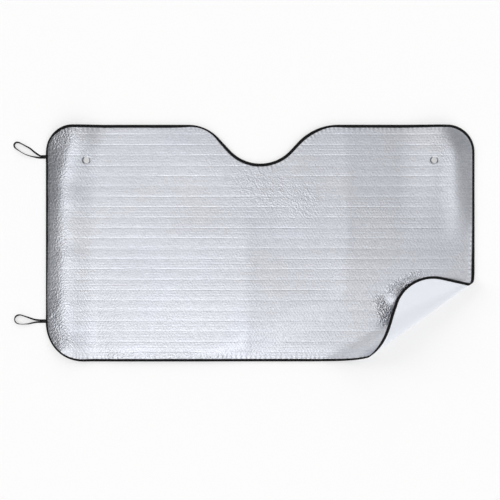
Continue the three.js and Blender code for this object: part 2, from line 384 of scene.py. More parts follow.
def outline_stations(step):
    """Walks the outline anticlockwise from the bottom middle. Returns x, y, heading and distance
    for stations about a step apart, so that any inset of the outline keeps the same stations."""
    stations = []
    x, y, heading, walked = 0.0, bottom_edge, 0.0, 0.0

    def straight(length):
        nonlocal x, y, walked
        steps = max(1, round(length / step))
        for _ in range(steps):
            x += length / steps * math.cos(heading)
            y += length / steps * math.sin(heading)
            walked += length / steps
            stations.append((x, y, heading, walked))

    def bend(radius, angle):
        nonlocal x, y, heading, walked
        steps = round(radius * abs(angle) / step)
        signed_radius = math.copysign(radius, angle)
        for _ in range(steps):
            turned = heading + angle / steps
            x += signed_radius * (math.sin(turned) - math.sin(heading))
            y += signed_radius * (math.cos(heading) - math.cos(turned))
            heading = turned
            walked += radius * abs(angle) / steps
            stations.append((x, y, heading, walked))

    rise = 1 - math.cos(notch_flank_angle)
    reach = math.sin(notch_flank_angle)

    def flank_length(shoulder_radius):
        return (notch_depth - (notch_bottom_radius + shoulder_radius) * rise) / reach

    def notch_half_width(shoulder_radius):
        along_flank = flank_length(shoulder_radius) * math.cos(notch_flank_angle)
        return (notch_bottom_radius + shoulder_radius) * reach + along_flank

    side_length = top_edge - bottom_edge - bottom_corner_radius - top_corner_radius
    straight(right_edge - bottom_corner_radius)
    bend(bottom_corner_radius, math.pi / 2)
    straight(side_length)
    bend(top_corner_radius, math.pi / 2)
    straight(right_edge - top_corner_radius - notch_half_width(right_shoulder_radius))
    bend(right_shoulder_radius, notch_flank_angle)
    straight(flank_length(right_shoulder_radius))
    bend(notch_bottom_radius, -2 * notch_flank_angle)
    straight(flank_length(left_shoulder_radius))
    bend(left_shoulder_radius, notch_flank_angle)
    straight(-left_edge - top_corner_radius - notch_half_width(left_shoulder_radius))
    bend(top_corner_radius, math.pi / 2)
    straight(side_length)
    bend(bottom_corner_radius, math.pi / 2)
    straight(-left_edge - bottom_corner_radius)
    return np.array(stations).T


station_x, station_y, station_heading, station_distance = outline_stations(outline_step)
station_count = len(station_x)
inward_x = -np.sin(station_heading)
inward_y = np.cos(station_heading)
station_tree = KDTree(station_count)
for index, (x, y) in enumerate(zip(station_x, station_y)):
    station_tree.insert((x, y, 0), index)
station_tree.balance()


def ring(inset):
    """The outline drawn in from the edge"""
    return np.column_stack([station_x + inset * inward_x, station_y + inset * inward_y])


def edge_places(points):
    """How far in from the outline flat points lie, and how far along it they are"""
    nearest = np.array([station_tree.find((x, y, 0))[1] for x, y in points])
    from_station = points - np.column_stack([station_x, station_y])[nearest]
    inset = from_station[:, 0] * inward_x[nearest] + from_station[:, 1] * inward_y[nearest]
    return inset, station_distance[nearest]


def smooth_between(low, high, value):
    """Goes smoothly from 0 where the value is low, or less, to 1 where it is high. low may be the
    greater of the two."""
    share = np.clip((value - low) / (high - low), 0, 1)
    return share * share * (3 - 2 * share)


def drift(x, y, length_x, length_y, seed):
    """A smooth random field from -1 to 1, its bumps and hollows about these lengths apart"""
    size = 256
    lattice = np.random.RandomState(seed).uniform(-1, 1, (size, size))
    u = np.asarray(x, float) / length_x + size
    v = np.asarray(y, float) / length_y + size
    i = np.floor(u).astype(int)
    j = np.floor(v).astype(int)
    share_u = smooth_between(0, 1, u - i)
    share_v = smooth_between(0, 1, v - j)

    def value(di, dj):
        return lattice[(i + di) % size, (j + dj) % size]

    low = value(0, 0) * (1 - share_u) + value(1, 0) * share_u
    high = value(0, 1) * (1 - share_u) + value(1, 1) * share_u
    return low * (1 - share_v) + high * share_v


def front_leg_width(x, y, along):
    """Width of the tape on the silver side, at flat places at or near the outline. It is narrower
    down the two sides and where the tape was led round a bend."""
    below_top = smooth_between(top_edge, below_top_corners, y)
    left = smooth_between(*side_margin, -x) * below_top
    right = smooth_between(*side_margin, x) * below_top * smooth_between(*right_margin_foot, y)
    bottom = smooth_between(*bottom_margin, y) * smooth_between(*bottom_margin_end, x) * (1 - left)
    width = front_leg_full_width - front_leg_loss_at_left * left
    width = width - front_leg_loss_at_right * right - front_leg_loss_at_bottom * bottom
    share = 1 + front_leg_wander * drift(along, 0 * along, front_leg_wander_length, 1, 41)
    for (place_x, place_y), reach, loss in narrow_places:
        share = share - loss * np.exp(-((x - place_x) ** 2 + (y - place_y) ** 2) / reach ** 2)
    return width * share


def cone_radii(along):
    """The cone's three radii at distances along the crease, and how far in their turns begin"""
    share = (along - crease_start) / (crease_end - crease_start)
    radii = [np.maximum(bottom + (side - bottom) * share, least_radius)
             for bottom, side in (lift_radii, crease_radii, curl_radii)]
    begin = -radii[0] * lift_end_angle - radii[1] * (math.pi / 2 - lift_end_angle)
    return radii, begin


def roll_place(x, y):
    """The cone's radii at flat points and how far in their turns begin, how far past that beginning
    each point lies, and its distance along the crease"""
    from_corner_x = x - right_edge
    from_corner_y = y - bottom_edge
    along = from_corner_x * math.cos(crease_angle) + from_corner_y * math.sin(crease_angle)
    flat = from_corner_x * math.sin(crease_angle) - from_corner_y * math.cos(crease_angle)
    radii, begin = cone_radii(along)
    return radii, begin, flat + crease_distance - begin, along


def beside_crease(along, out):
    """Places from their distance along the crease and their distance out from it"""
    x = right_edge + along * math.cos(crease_angle) + out * math.sin(crease_angle)
    y = bottom_edge + along * math.sin(crease_angle) - out * math.cos(crease_angle)
    return x, y


def rolled(x, y, height):
    """Moves points of the flat panel, at a height over it, to their places on the rolled one"""
    radii, begin, past, along = roll_place(x, y)
    out = begin + np.minimum(past, 0)
    up = np.zeros_like(out)
    angle = np.zeros_like(out)
    start = 0.0
    for radius, turn in zip(radii, roll_turns):
        turned = np.clip(past, 0, radius * turn) / radius
        out += radius * (np.sin(start + turned) - math.sin(start))
        up += radius * (math.cos(start) - np.cos(start + turned))
        angle += turned
        past = past - radius * turn
        start += turn
    beyond = np.maximum(past, 0)
    out += beyond * math.cos(curl_end_angle) - height * np.sin(angle)
    up += beyond * math.sin(curl_end_angle) + height * np.cos(angle)
    return np.column_stack([*beside_crease(along, out - crease_distance), up])


# Where the panel stands off the floor: it falls to its left edge from a crest close inside it, it
# is lifted at the right and droops at that edge, and its bottom margin swells a little. Two folding
# creases cross it. All of it dies away before the roll. A change is where one begins and ends.
left_margin_slopes = (math.tan(math.radians(12)), math.tan(math.radians(14.2)))
left_slope_change = (-0.05, 0.25)
low_corner_slope = 0.05
low_corner_change = (-0.12, -0.28)
left_margin_width = 0.050
left_margin_width_at_top = 0.080
left_top_change = (0.20, 0.385)
left_crest_wander = 0.006
left_crest_wander_length = 0.05
left_crest_fall = 0.13
left_crest_loss = 0.9
left_crest_softness = 0.0050
softer_at_top = 1.6
off_left_change = (0.10, 0.30)
right_crest = 0.662
right_crest_height = 0.0128
right_rise_length = 0.195
right_droop = 0.0026
right_fade_ends = (0.10, 0.02)          # before the roll: inside the panel, and at its side
right_fade_lengths = (0.42, 0.28)
top_right_droop = 0.014
top_right_droop_start = (0.615, 0.290)
top_right_droop_change = (0.0275, 0.1375)
top_right_side_change = (0.60, 0.68)
bottom_swell_place = 0.040
bottom_swell_height = 0.0016
bottom_lift = 0.002
bottom_lift_change = (0.40, 0.10)
fold_crests = [(-0.045, 0.004, 0.11), (0.290, 0.003, 0.10)]
fold_softness = 0.012
under_notch_change = (0.15, 0.05)
below_notch_change = (0.0, 0.16)
floor_wave_height = 0.0012
floor_wave_lengths = (0.22, 0.16)
loop_lift = 0.0014
loop_change_along_edge = (0.008, 0.030)
loop_change_inward = (0.010, 0.040)
before_roll_change = (-0.20, -0.09)


def stand_off(x, y):
    """Height of the panel's underside over the floor at flat points"""
    from_left = x - left_edge
    near_top = smooth_between(*left_top_change, y)
    width = left_margin_width + (left_margin_width_at_top - left_margin_width) * near_top
    wander = left_crest_wander * drift(y, 0 * y, left_crest_wander_length, 1, 11)
    low_slope, high_slope = left_margin_slopes
    slope = low_slope + (high_slope - low_slope) * smooth_between(*left_slope_change, y)
    slope += low_corner_slope * smooth_between(*low_corner_change, y)
    crest = (width + wander) * slope
    ramp = from_left * slope
    soft = left_crest_softness * (1 + softer_at_top * near_top)
    ridge = 0.5 * (ramp - np.sqrt((ramp - crest) ** 2 + soft ** 2) + np.sqrt(crest ** 2 + soft ** 2))
    left = ridge * (1 - left_crest_loss * smooth_between(0, left_crest_fall, from_left - width))

    right = right_crest_height * smooth_between(right_crest - right_rise_length, right_crest, x)
    past_crest = np.maximum(x - right_crest, 0) / (right_edge - right_crest)
    right -= right_droop * past_crest ** 2
    droop_x, droop_y = top_right_droop_start
    into_corner = np.hypot(np.maximum(x - droop_x, 0), np.maximum(y - droop_y, 0))
    corner_droop = smooth_between(*top_right_droop_change, into_corner)
    right -= top_right_droop * corner_droop * smooth_between(*top_right_side_change, x)

    from_bottom = (y - bottom_edge) / bottom_swell_place
    bottom_swell = bottom_swell_height * from_bottom * np.exp(1 - from_bottom)
    bottom_swell += bottom_lift * smooth_between(*bottom_lift_change, y - bottom_edge)
    under_notch = smooth_between(*below_notch_change, y) * smooth_between(*under_notch_change, x)
    folds = (1 - under_notch) * sum(
        height * np.exp(-np.sqrt((x - place) ** 2 + fold_softness ** 2) / reach)
        for place, height, reach in fold_crests
    )
    off_left = smooth_between(*off_left_change, from_left)
    waves = floor_wave_height * (1 + drift(x, y, *floor_wave_lengths, 12)) * off_left

    past = roll_place(x, y)[2]
    near_side = smooth_between(*side_margin, x)
    fade_end, fade_length = (
        inside + (at_side - inside) * near_side
        for inside, at_side in (right_fade_ends, right_fade_lengths)
    )
    right *= 1 - smooth_between(-fade_length, 0, past + fade_end)
    margins = right + (bottom_swell + folds) * off_left
    clear_of_roll = 1 - smooth_between(*before_roll_change, past)
    loops = sum(
        loop_lift * (1 - smooth_between(*loop_change_along_edge, np.abs(y - loop_y)))
        for loop_y in (upper_loop_y, lower_loop_y)
    ) * (1 - smooth_between(*loop_change_inward, from_left))
    return np.maximum(left, loops) + (waves + margins) * clear_of_roll


def triangulated(rims, inner):
    """Triangles over flat points, inside the first rim and outside the others, which are holes"""
    points = np.vstack([*rims, inner])
    edges = []
    first = 0
    for rim in rims:
        edges += [(first + i, first + (i + 1) % len(rim)) for i in range(len(rim))]
        first += len(rim)
    outline = [list(range(len(rims[0])))]
    inside_only = 1
    merge_distance = 1e-7
    found = delaunay_2d_cdt([Vector(point) for point in points], edges, outline, inside_only,
                            merge_distance, True)
    original = np.array([sources[0] for sources in found[3]])
    triangles = original[np.array(found[2])]
    middle = points[triangles].mean(axis=1)
    keep = edge_places(middle)[0] > 0
    for centre in hole_centres:
        keep &= np.linalg.norm(middle - centre, axis=1) > hole_radius
    return points, triangles[keep]


def hole_ring(centre, radius, count=48):
    """Points round a hole's centre"""
    turn = np.linspace(0, 2 * np.pi, count, endpoint=False)
    return np.column_stack([centre[0] + radius * np.cos(turn), centre[1] + radius * np.sin(turn)])


def sheet_points(step_x, step_y, edge_insets, hole_radii, roll_spacing):
    """Flat points that carry a sheet's surface: rings that follow its edge and its holes, the
    cone's rulings where it is rolled, and a plain grid elsewhere"""
    rings = [ring(inset) for inset in edge_insets]
    collars = [hole_ring(centre, radius) for centre in hole_centres for radius in hole_radii]
    columns = np.arange(left_edge, right_edge, step_x)
    rows = np.arange(top_edge, bottom_edge, -step_y)
    grid = np.array([(x, y) for y in rows for x in columns])
    radii, _, past, _ = roll_place(grid[:, 0], grid[:, 1])
    turned_length = sum(radius * turn for radius, turn in zip(radii, roll_turns))
    grid = grid[(past < 0) | (past > turned_length)]
    inner = np.vstack([grid, roll_rulings(roll_spacing)])
    clearance = 0.4 * step_y
    inner = inner[edge_places(inner)[0] > max(edge_insets) + clearance]
    for centre in hole_centres:
        inner = inner[np.linalg.norm(inner - centre, axis=1) > max(hole_radii) + clearance]
    return np.vstack([*rings, *collars, inner])


def roll_rulings(spacing, angle_step=math.radians(6)):
    """Points along the cone's rulings, at equal turns from the first lift to the end of the curl"""
    beyond_edges = 0.05
    along = np.arange(crease_start - beyond_edges, crease_end + beyond_edges, spacing)
    radii, begin = cone_radii(along)
    flats = [begin]
    for radius, turn in zip(radii, roll_turns):
        steps = math.ceil(turn / angle_step)
        last = flats[-1]
        flats += [last + radius * turn * (i + 1) / steps for i in range(steps)]
    return np.vstack([np.column_stack(beside_crease(along, flat - crease_distance)) for flat in flats])


def layered_sheet(name, edge_inset, face_points, back_points, face_height, back_height, material):
    """A closed sheet: its face and its back are each triangulated, and walls join them round the
    edge and the holes. Heights are functions of flat points."""
    rims = [ring(edge_inset), *(hole_ring(centre, hole_radius) for centre in hole_centres)]
    face, face_triangles = triangulated(rims, face_points)
    back, back_triangles = triangulated(rims, back_points)
    flat = np.vstack([face, back])
    heights = np.concatenate([face_height(face), back_height(back)])
    points = rolled(flat[:, 0], flat[:, 1], heights + stand_off(flat[:, 0], flat[:, 1]))
    shift = len(face)
    walls = []
    first = 0
    for rim, inside_out in zip(rims, (False, True, True)):
        for i in range(len(rim)):
            here = first + i
            after = first + (i + 1) % len(rim)
            wall = (here, shift + here, shift + after, after)
            walls.append(wall[::-1] if inside_out else wall)
        first += len(rim)
    faces = [*face_triangles, *(back_triangles[:, ::-1] + shift), *walls]
    sheet = new_piece(name, points, faces, material, np.column_stack([flat, heights]))
    a, b, c = (face[face_triangles[:, i]] for i in range(3))
    flat_area = 0.5 * np.abs(np.cross(b - a, c - a)).sum()
    return sheet, float(flat_area)


# Silver foil: the front of the shade, aluminised film over bubble film, pressed into long ribs.
# It is welded flat round the two punched holes and along the edge, where the binding grips it, and
# it is crumpled where the panel bends.
foil_low = 0.0016
foil_rim_high = 0.0028
foil_weld_high = 0.0025
foil_groove_high = 0.0032
rib_pitch = 0.035
rib_height = 0.00024
rib_wander = 0.0012
rib_wander_lengths = (0.12, 0.08)
rib_share = 0.85
rib_unevenness = 0.3
rib_unevenness_lengths = (0.25, 0.06)
fine_rib_share = 0.3
fine_rib_lengths = (0.18, 0.05)
stretched_ends = (0.58, 0.66)
stretched_rib_share = 0.25
foil_least_thickness = 0.0004
sheet_inset = 0.0008
hem_overlap = 0.0006
hem_rise_length = 0.0018
hem_rise_added_at_left = 0.007
hem_rise_left_change = (-0.66, -0.71)
hem_rise_foot_change = (-0.36, -0.30)
pucker_pitch = 0.016
pucker_height = 0.0004
pucker_reach = 0.008
pucker_wander = 0.5
pucker_wander_length = 0.05
lip_height = 0.0005
lip_change = (0.60, 0.70)
lip_place = 0.003
lip_reach = 0.006
hole_weld_edges = (0.0003, 0.0055)
# Painted shade beside the holes: where it fades out from each hole's centre, and on which sides of the
# rim it lies
hole_shade_edges = (0.0150, 0.0125)
hole_shade_sides = (0.40, 0.80)
crumple_size = 0.011
crumple_height = 0.0011
least_crumple_height = 0.00008
middle_of_creases = 0.75
crumple_stroke_edge = (0.35, 1.4)
cheek_place = (0.465, -0.190)
cheek_height = 0.0052
cheek_reach = 0.023

# Crumpled places: two ends of a stroke, its radius and how strong it is
crumpled_places = [
    ((-0.672, 0.290), (-0.676, -0.230), 0.030, 0.24),
    ((-0.700, 0.340), (-0.700, -0.230), 0.050, 0.12),
    ((-0.694, -0.255), (-0.667, -0.329), 0.034, 0.60),
    ((0.404, -0.192), (0.426, -0.258), 0.022, 1.00),
    ((0.449, -0.156), (0.535, -0.113), 0.022, 1.00),
    ((-0.034, 0.196), (0.135, 0.145), 0.070, 0.22),
    ((0.608, 0.348), (0.693, 0.280), 0.045, 0.12),
    ((-0.678, 0.348), (-0.640, 0.372), 0.040, 0.42),
    ((-0.508, -0.378), (-0.102, -0.387), 0.014, 0.22),
]


def crumpled(x, y):
    """How strongly the foil is crumpled at flat points, from 0 to 1"""
    total = np.zeros_like(x)
    inner_share, outer_share = crumple_stroke_edge
    for (x0, y0), (x1, y1), radius, strength in crumpled_places:
        length_squared = (x1 - x0) ** 2 + (y1 - y0) ** 2
        share = np.clip(((x - x0) * (x1 - x0) + (y - y0) * (y1 - y0)) / length_squared, 0, 1)
        away = np.hypot(x - x0 - share * (x1 - x0), y - y0 - share * (y1 - y0))
        off_stroke = smooth_between(inner_share * radius, outer_share * radius, away)
        total = np.maximum(total, strength * (1 - off_stroke))
    return total


def foil_face_height(flat):
    """Height of the silver face over the panel's underside. The ribs come first, then the hem, the
    welds round the holes, the puckers of the seam, the creases and the swell beside the roll."""
    x, y = flat.T
    inset, along = edge_places(flat)
    rows = (top_edge - y + rib_wander * drift(x, y, *rib_wander_lengths, 21)) / rib_pitch
    crown = np.abs(np.sin(math.pi * rows))
    fine_crown = np.abs(np.sin(2 * math.pi * rows))
    stretched = 1 - (1 - stretched_rib_share) * smooth_between(*stretched_ends, np.abs(x))
    share = rib_share + rib_unevenness * drift(x, y, *rib_unevenness_lengths, 22)
    fine_share = fine_rib_share * drift(x, y, *fine_rib_lengths, 23)
    ribs = stretched * (share * crown + fine_share * fine_crown)
    height = foil_groove_high + rib_height * ribs

    from_hem = inset - front_leg_width(x, y, along)
    lip = lip_height * smooth_between(*lip_change, x)
    height = height + lip * np.exp(-np.maximum(from_hem - lip_place, 0) / lip_reach)
    rise_added = smooth_between(*hem_rise_left_change, x) * smooth_between(*hem_rise_foot_change, y)
    rise = hem_rise_length + hem_rise_added_at_left * rise_added
    off_tape = smooth_between(0, rise, from_hem + hem_overlap)
    height = foil_rim_high + (height - foil_rim_high) * off_tape

    weld_start, weld_end = hole_weld_edges
    off_hole = np.ones_like(x)
    for centre in hole_centres:
        from_hole = np.hypot(x - centre[0], y - centre[1]) - hole_radius
        off_hole *= np.clip((from_hole - weld_start) / (weld_end - weld_start), 0, 1)
    height = foil_weld_high + (height - foil_weld_high) * off_hole

    puckers = along / pucker_pitch
    puckers = puckers + pucker_wander * drift(along, 0 * along, pucker_wander_length, 1, 24)
    fade = np.exp(-np.maximum(from_hem, 0) / pucker_reach) * off_tape
    height = height + pucker_height * fade * np.sin(2 * math.pi * puckers)

    creases = 1 - np.abs(drift(x, y, crumple_size, crumple_size, 25))
    creases = creases + 0.5 * (1 - np.abs(drift(x, y, crumple_size / 2, crumple_size / 2, 26)))
    crease_height = crumpled(x, y) * crumple_height + least_crumple_height
    height = height + crease_height * (creases - middle_of_creases) * off_tape * off_hole
    from_cheek = np.hypot(x - cheek_place[0], y - cheek_place[1])
    height = height + cheek_height * np.exp(-(from_cheek / cheek_reach) ** 2)
    return np.maximum(height, foil_low + foil_least_thickness)


bubble_pitch = 0.0105
bubble_radius = 0.0046
bubble_top_share = 0.45
weld_half_width = 0.0030
weld_wander = 0.004
weld_shown_change = (0.38, 0.60)
fine_weld_depth = 0.35
cloud_size = 0.25
speck_size = 1 / 230      # of a metre, 4.3 mm
facet_size = 1 / 210      # 4.8 mm


def bubble_distance(tree, place, shift):
    """Distance from the nearest bubble's middle, on a grid with this shift"""
    cell = (bubble_pitch, bubble_pitch * math.sqrt(3), 1)
    moved = add_node(tree, "ShaderNodeVectorMath", {0: place, 1: shift}, operation="ADD")
    wrapped = add_node(tree, "ShaderNodeVectorMath", {
        0: moved,
        1: [size / 2 for size in cell],
        2: [-size / 2 for size in cell],
    }, operation="WRAP")
    level = add_node(tree, "ShaderNodeVectorMath", {0: wrapped, 1: (1, 1, 0)}, operation="MULTIPLY")
    return add_node(tree, "ShaderNodeVectorMath", {0: level}, operation="LENGTH")


def bubble_height(tree, place):
    """Round bubbles in staggered rows, from 0 between them to 1 on their tops"""
    one = bubble_distance(tree, place, (0, 0, 0))
    other = bubble_distance(tree, place, (bubble_pitch / 2, bubble_pitch * math.sqrt(3) / 2, 0))
    nearest = add_node(tree, "ShaderNodeMath", {0: one, 1: other}, operation="MINIMUM")
    return add_node(tree, "ShaderNodeMapRange", {
        "Value": nearest,
        "From Min": bubble_radius,
        "From Max": bubble_radius * bubble_top_share,
    }, interpolation_type="SMOOTHSTEP")


def weld_lines(tree, place, pitch, shift, depth):
    """Narrow grooves a pitch apart between the ribs. Each wanders a little, comes and goes along
    its length, and is shallow where the foil is stretched."""
    moved = add_node(tree, "ShaderNodeVectorMath", {0: place, 1: (shift, shift, 0)}, operation="ADD")
    along_ribs = add_node(tree, "ShaderNodeVectorMath", {0: moved, 1: (5, 30, 1)},
                          operation="MULTIPLY")
    wander = add_node(tree, "ShaderNodeTexNoise", {"Vector": along_ribs, "Scale": 1.0, "Detail": 2.0})
    strength = add_node(tree, "ShaderNodeTexNoise", {"Vector": along_ribs, "Scale": 0.8, "Detail": 1.0})
    here = add_node(tree, "ShaderNodeSeparateXYZ", {"Vector": place}).outputs
    from_top = add_node(tree, "ShaderNodeMath", {0: top_edge, 1: here["Y"]}, operation="SUBTRACT")
    wandered = add_node(tree, "ShaderNodeMath", {0: wander, 1: weld_wander, 2: from_top},
                        operation="MULTIPLY_ADD")
    from_groove = add_node(tree, "ShaderNodeMath", {0: wandered, 1: pitch / 2}, operation="PINGPONG")
    from_middle = add_node(tree, "ShaderNodeMath", {0: here["X"]}, operation="ABSOLUTE")
    groove, shown, stretched = (
        add_node(tree, "ShaderNodeMapRange", {
            "Value": value,
            "From Min": change[0],
            "From Max": change[1],
            "To Min": before,
            "To Max": after,
        }, interpolation_type="SMOOTHSTEP")
        for value, change, before, after in (
            (from_groove, (0.0, weld_half_width), -depth, 0.0),
            (strength, weld_shown_change, 0.0, 1.0),
            (from_middle, stretched_ends, 1.0, stretched_rib_share),
        )
    )
    faded = add_node(tree, "ShaderNodeMath", {0: shown, 1: stretched}, operation="MULTIPLY")
    return add_node(tree, "ShaderNodeMath", {0: groove, 1: faded}, operation="MULTIPLY")


def aluminised_film():
    """Vacuum-metallised polyester film: a satin mirror, slightly blue, that shows the bubbles
    below it and breaks into bright and dark facets where it is crumpled. Its sparkle and its
    facets are drawn at 4 to 5 mm, coarser than they are, so that they show."""
    material, tree = new_material("aluminised_film")
    flat = add_node(tree, "ShaderNodeAttribute", attribute_name="flat").outputs["Vector"]
    crumple = add_node(tree, "ShaderNodeAttribute", attribute_name="crumple").outputs["Fac"]
    main_lines = weld_lines(tree, flat, rib_pitch, 0, 1.0)
    fine_lines = weld_lines(tree, flat, rib_pitch / 2, 3.0, fine_weld_depth)
    lines = add_node(tree, "ShaderNodeMath", {0: main_lines, 1: fine_lines}, operation="ADD")
    cloud = add_node(tree, "ShaderNodeTexNoise", {"Vector": flat, "Scale": grain_scale(cloud_size),
                                                  "Detail": 2.0})
    tint = add_node(tree, "ShaderNodeMix", {"Factor": cloud, 6: linear("#d4d8e2"),
                                            7: linear("#d8d9dd")}, data_type="RGBA")
    speck = add_node(tree, "ShaderNodeTexNoise", {"Vector": flat, "Scale": grain_scale(speck_size),
                                                  "Detail": 3.0, "Roughness": 0.6})
    pulled = add_node(tree, "ShaderNodeVectorMath", {0: flat, 1: (40, 300, 1)}, operation="MULTIPLY")
    streak = add_node(tree, "ShaderNodeTexNoise", {"Vector": pulled, "Scale": 1.0, "Detail": 2.0})
    grain = add_node(tree, "ShaderNodeMix", {"Factor": 0.40, 2: speck, 3: streak})
    dulled = add_node(tree, "ShaderNodeMapRange", {"Value": grain, "From Min": 0.35, "From Max": 0.65,
                                                   "To Min": 0.86, "To Max": 1.12}, clamp=False)
    grained_tint = add_node(tree, "ShaderNodeMix", {"Factor": 1.0, 6: tint, 7: dulled},
                            data_type="RGBA", blend_type="MULTIPLY")
    # Painted shade: a darker grey over the left and right of each hole's rim
    hole_rim_shade = add_node(tree, "ShaderNodeAttribute", attribute_name="hole_rim_shade").outputs["Fac"]
    colour = add_node(tree, "ShaderNodeMix", {"Factor": hole_rim_shade, 6: grained_tint,
                                              7: linear("#70747c")}, data_type="RGBA")
    facets = add_node(tree, "ShaderNodeTexVoronoi",
                      {"Vector": flat, "Scale": grain_scale(facet_size)}, feature="SMOOTH_F1")
    roughness = add_node(tree, "ShaderNodeMapRange", {"Value": cloud, "To Min": 0.28, "To Max": 0.34})
    bubbles = add_node(tree, "ShaderNodeBump", {"Height": bubble_height(tree, flat),
                                                "Distance": 0.00008})
    grained = add_node(tree, "ShaderNodeBump", {"Height": speck, "Distance": 0.00035,
                                                "Normal": bubbles})
    welded = add_node(tree, "ShaderNodeBump", {"Height": lines, "Distance": 0.00027,
                                               "Normal": grained})
    creased = add_node(tree, "ShaderNodeBump", {"Height": facets, "Distance": 0.0030,
                                                "Strength": crumple, "Normal": welded})
    surface = add_node(tree, "ShaderNodeBsdfPrincipled", {
        "Base Color": colour,
        "Metallic": 1.0,
        "Roughness": roughness,
        "Normal": creased,
    })
    add_node(tree, "ShaderNodeOutputMaterial", {"Surface": surface})
    return material


foil_edge_insets = [0.0035, 0.0055, 0.0065, 0.0075, 0.0085, 0.0095, 0.0105, 0.0118, 0.0135, 0.0160,
                    0.0195, 0.0240]
foil_hole_radii = [0.0106, 0.0113, 0.0121, 0.0130, 0.0140, 0.0155, 0.0175]
foil_step = 0.0065
foil_roll_step = 0.0045
hidden_step = 0.030
foil_face_points = sheet_points(foil_step, rib_pitch / 8, foil_edge_insets, foil_hole_radii,
                                foil_roll_step)
foil_back_points = sheet_points(hidden_step, hidden_step, [0.012], [0.020], 0.020)
foil, foil_area = layered_sheet("silver_bubble_foil", sheet_inset, foil_face_points, foil_back_points,
                                foil_face_height, lambda flat: np.full(len(flat), foil_low),
                                aluminised_film())

# How crumpled the foil is, and painted shade: short dark marks at the left and right of each hole's rim
places = np.zeros(len(foil.data.vertices) * 3, np.float32)
foil.data.attributes["flat"].data.foreach_get("vector", places)
flat_x, flat_y = places.reshape(-1, 3)[:, :2].T
from_holes = np.min([np.hypot(flat_x - x, flat_y - y) for x, y in hole_centres], axis=0)
beside_holes = np.min([np.abs(flat_x - x) for x, y in hole_centres], axis=0) / from_holes
painted_hole_shade = smooth_between(*hole_shade_edges, from_holes)
painted_hole_shade *= smooth_between(*hole_shade_sides, beside_holes)
least_crumple = 0.08
crumple_share = least_crumple + (1 - least_crumple) * crumpled(flat_x, flat_y)
for name, values in (("crumple", crumple_share), ("hole_rim_shade", painted_hole_shade)):
    attribute = foil.data.attributes.new(name, "FLOAT", "POINT")
    attribute.data.foreach_set("value", values.astype(np.float32))
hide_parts("front_foil_sheet")
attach(foil, "root")


# White film: the smooth plain back of the shade, laminated to the foil and punched with it. The
# rolled corner shows it. The foil's ribs and bubbles just show through.
film_low = 0.0008
film_high = 0.0013
film_rib_print = 0.00018
film_softness = 0.00025
film_softness_lengths = (0.045, 0.03)
film_cloud_size = 1 / 6
film_grain_size = 1 / 180      # of a metre, 5.6 mm


def film_back_height(flat):
    """Height of the film's outer face over the panel's underside"""
    x, y = flat.T
    crown = np.abs(np.sin(math.pi * (top_edge - y) / rib_pitch))
    soft = film_softness * drift(x, y, *film_softness_lengths, 31)
    off_tape = smooth_between(tape_width, 2 * tape_width, edge_places(flat)[0])
    return film_low + (film_rib_print * crown + soft) * off_tape


def film_face_height(flat):
    """Height of the face that is laminated to the foil"""
    return film_back_height(flat) + film_high - film_low


def white_film():
    """Polyethylene film: cool white and semi-matt, faintly dimpled by the bubbles behind it. Its
    grain is drawn at 6 mm, coarser than it is, so that it shows."""
    material, tree = new_material("white_polyethylene_film")
    flat = add_node(tree, "ShaderNodeAttribute", attribute_name="flat").outputs["Vector"]
    cloud = add_node(tree, "ShaderNodeTexNoise", {"Vector": flat, "Scale": grain_scale(film_cloud_size),
                                                  "Detail": 2.0})
    colour = add_node(tree, "ShaderNodeMix", {"Factor": cloud, 6: linear("#dfe3eb"),
                                              7: linear("#e2e4ea")}, data_type="RGBA")
    grain = add_node(tree, "ShaderNodeTexNoise", {"Vector": flat, "Scale": grain_scale(film_grain_size),
                                                  "Detail": 2.0})
    bubbles = add_node(tree, "ShaderNodeBump", {"Height": bubble_height(tree, flat),
                                                "Distance": 0.00008})
    grained = add_node(tree, "ShaderNodeBump", {"Height": grain, "Distance": 0.0002,
                                                "Normal": bubbles})
    surface = add_node(tree, "ShaderNodeBsdfPrincipled", {
        "Base Color": colour,
        "Roughness": 0.42,
        "IOR": 1.51,
        "Normal": grained,
    })
    add_node(tree, "ShaderNodeOutputMaterial", {"Surface": surface})
    return material


film_edge_insets = [0.006, 0.010, 0.015, 0.022]
film_step = 0.012
film_roll_step = 0.008
film_points = sheet_points(film_step, rib_pitch / 4, film_edge_insets, [0.014], film_roll_step)
film, film_area = layered_sheet("white_back_film", sheet_inset, film_points, film_points,
                                film_face_height, film_back_height, white_film())
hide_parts("back_film_sheet")
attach(film, "root")


# Edge binding: one woven black polyester tape, folded lengthwise round the raw edge of both sheets
# and sewn through. The seam pulls a shallow groove into it, and its front leg is narrower where the
# tape was led round a bend.
tape_thickness = 0.0005
tape_high = 0.0036
tape_fold_radius = 0.0012
tape_fold_points = 5
front_leg_points = 8
back_leg_points = 5
seam_from_hem = 0.0025
seam_dip = 0.00018
seam_half_width = 0.0012
cross_rib_pitch = 0.0012
thread_pitch = 0.0009
fuzz_size = 1 / 900      # of a metre, 1.1 mm


def tape_section(width, inward):
    """One face of the folded tape: insets and heights from the front hem round to the back hem.
    inward is how far the face lies in from the tape's own outer face."""
    radius = tape_fold_radius - inward
    front = np.linspace(width, tape_fold_radius, front_leg_points)
    back = np.linspace(tape_fold_radius, tape_width, back_leg_points)
    dip, back_dip = (
        seam_dip * np.exp(-((leg - (leg_width - seam_from_hem)) / seam_half_width) ** 2)
        for leg, leg_width in ((front, width), (back, tape_width))
    )
    turn = np.linspace(0, math.pi / 2, tape_fold_points + 1)[1:]
    insets = [*front, *(tape_fold_radius - radius * np.sin(turn)),
              *(tape_fold_radius - radius * np.cos(turn)), *back[1:]]
    top = tape_high - inward
    heights = [*(top - dip), *(top - radius + radius * np.cos(turn)),
               *(inward + radius - radius * np.sin(turn)), *(inward + back_dip[1:])]
    return np.array(insets), np.array(heights)


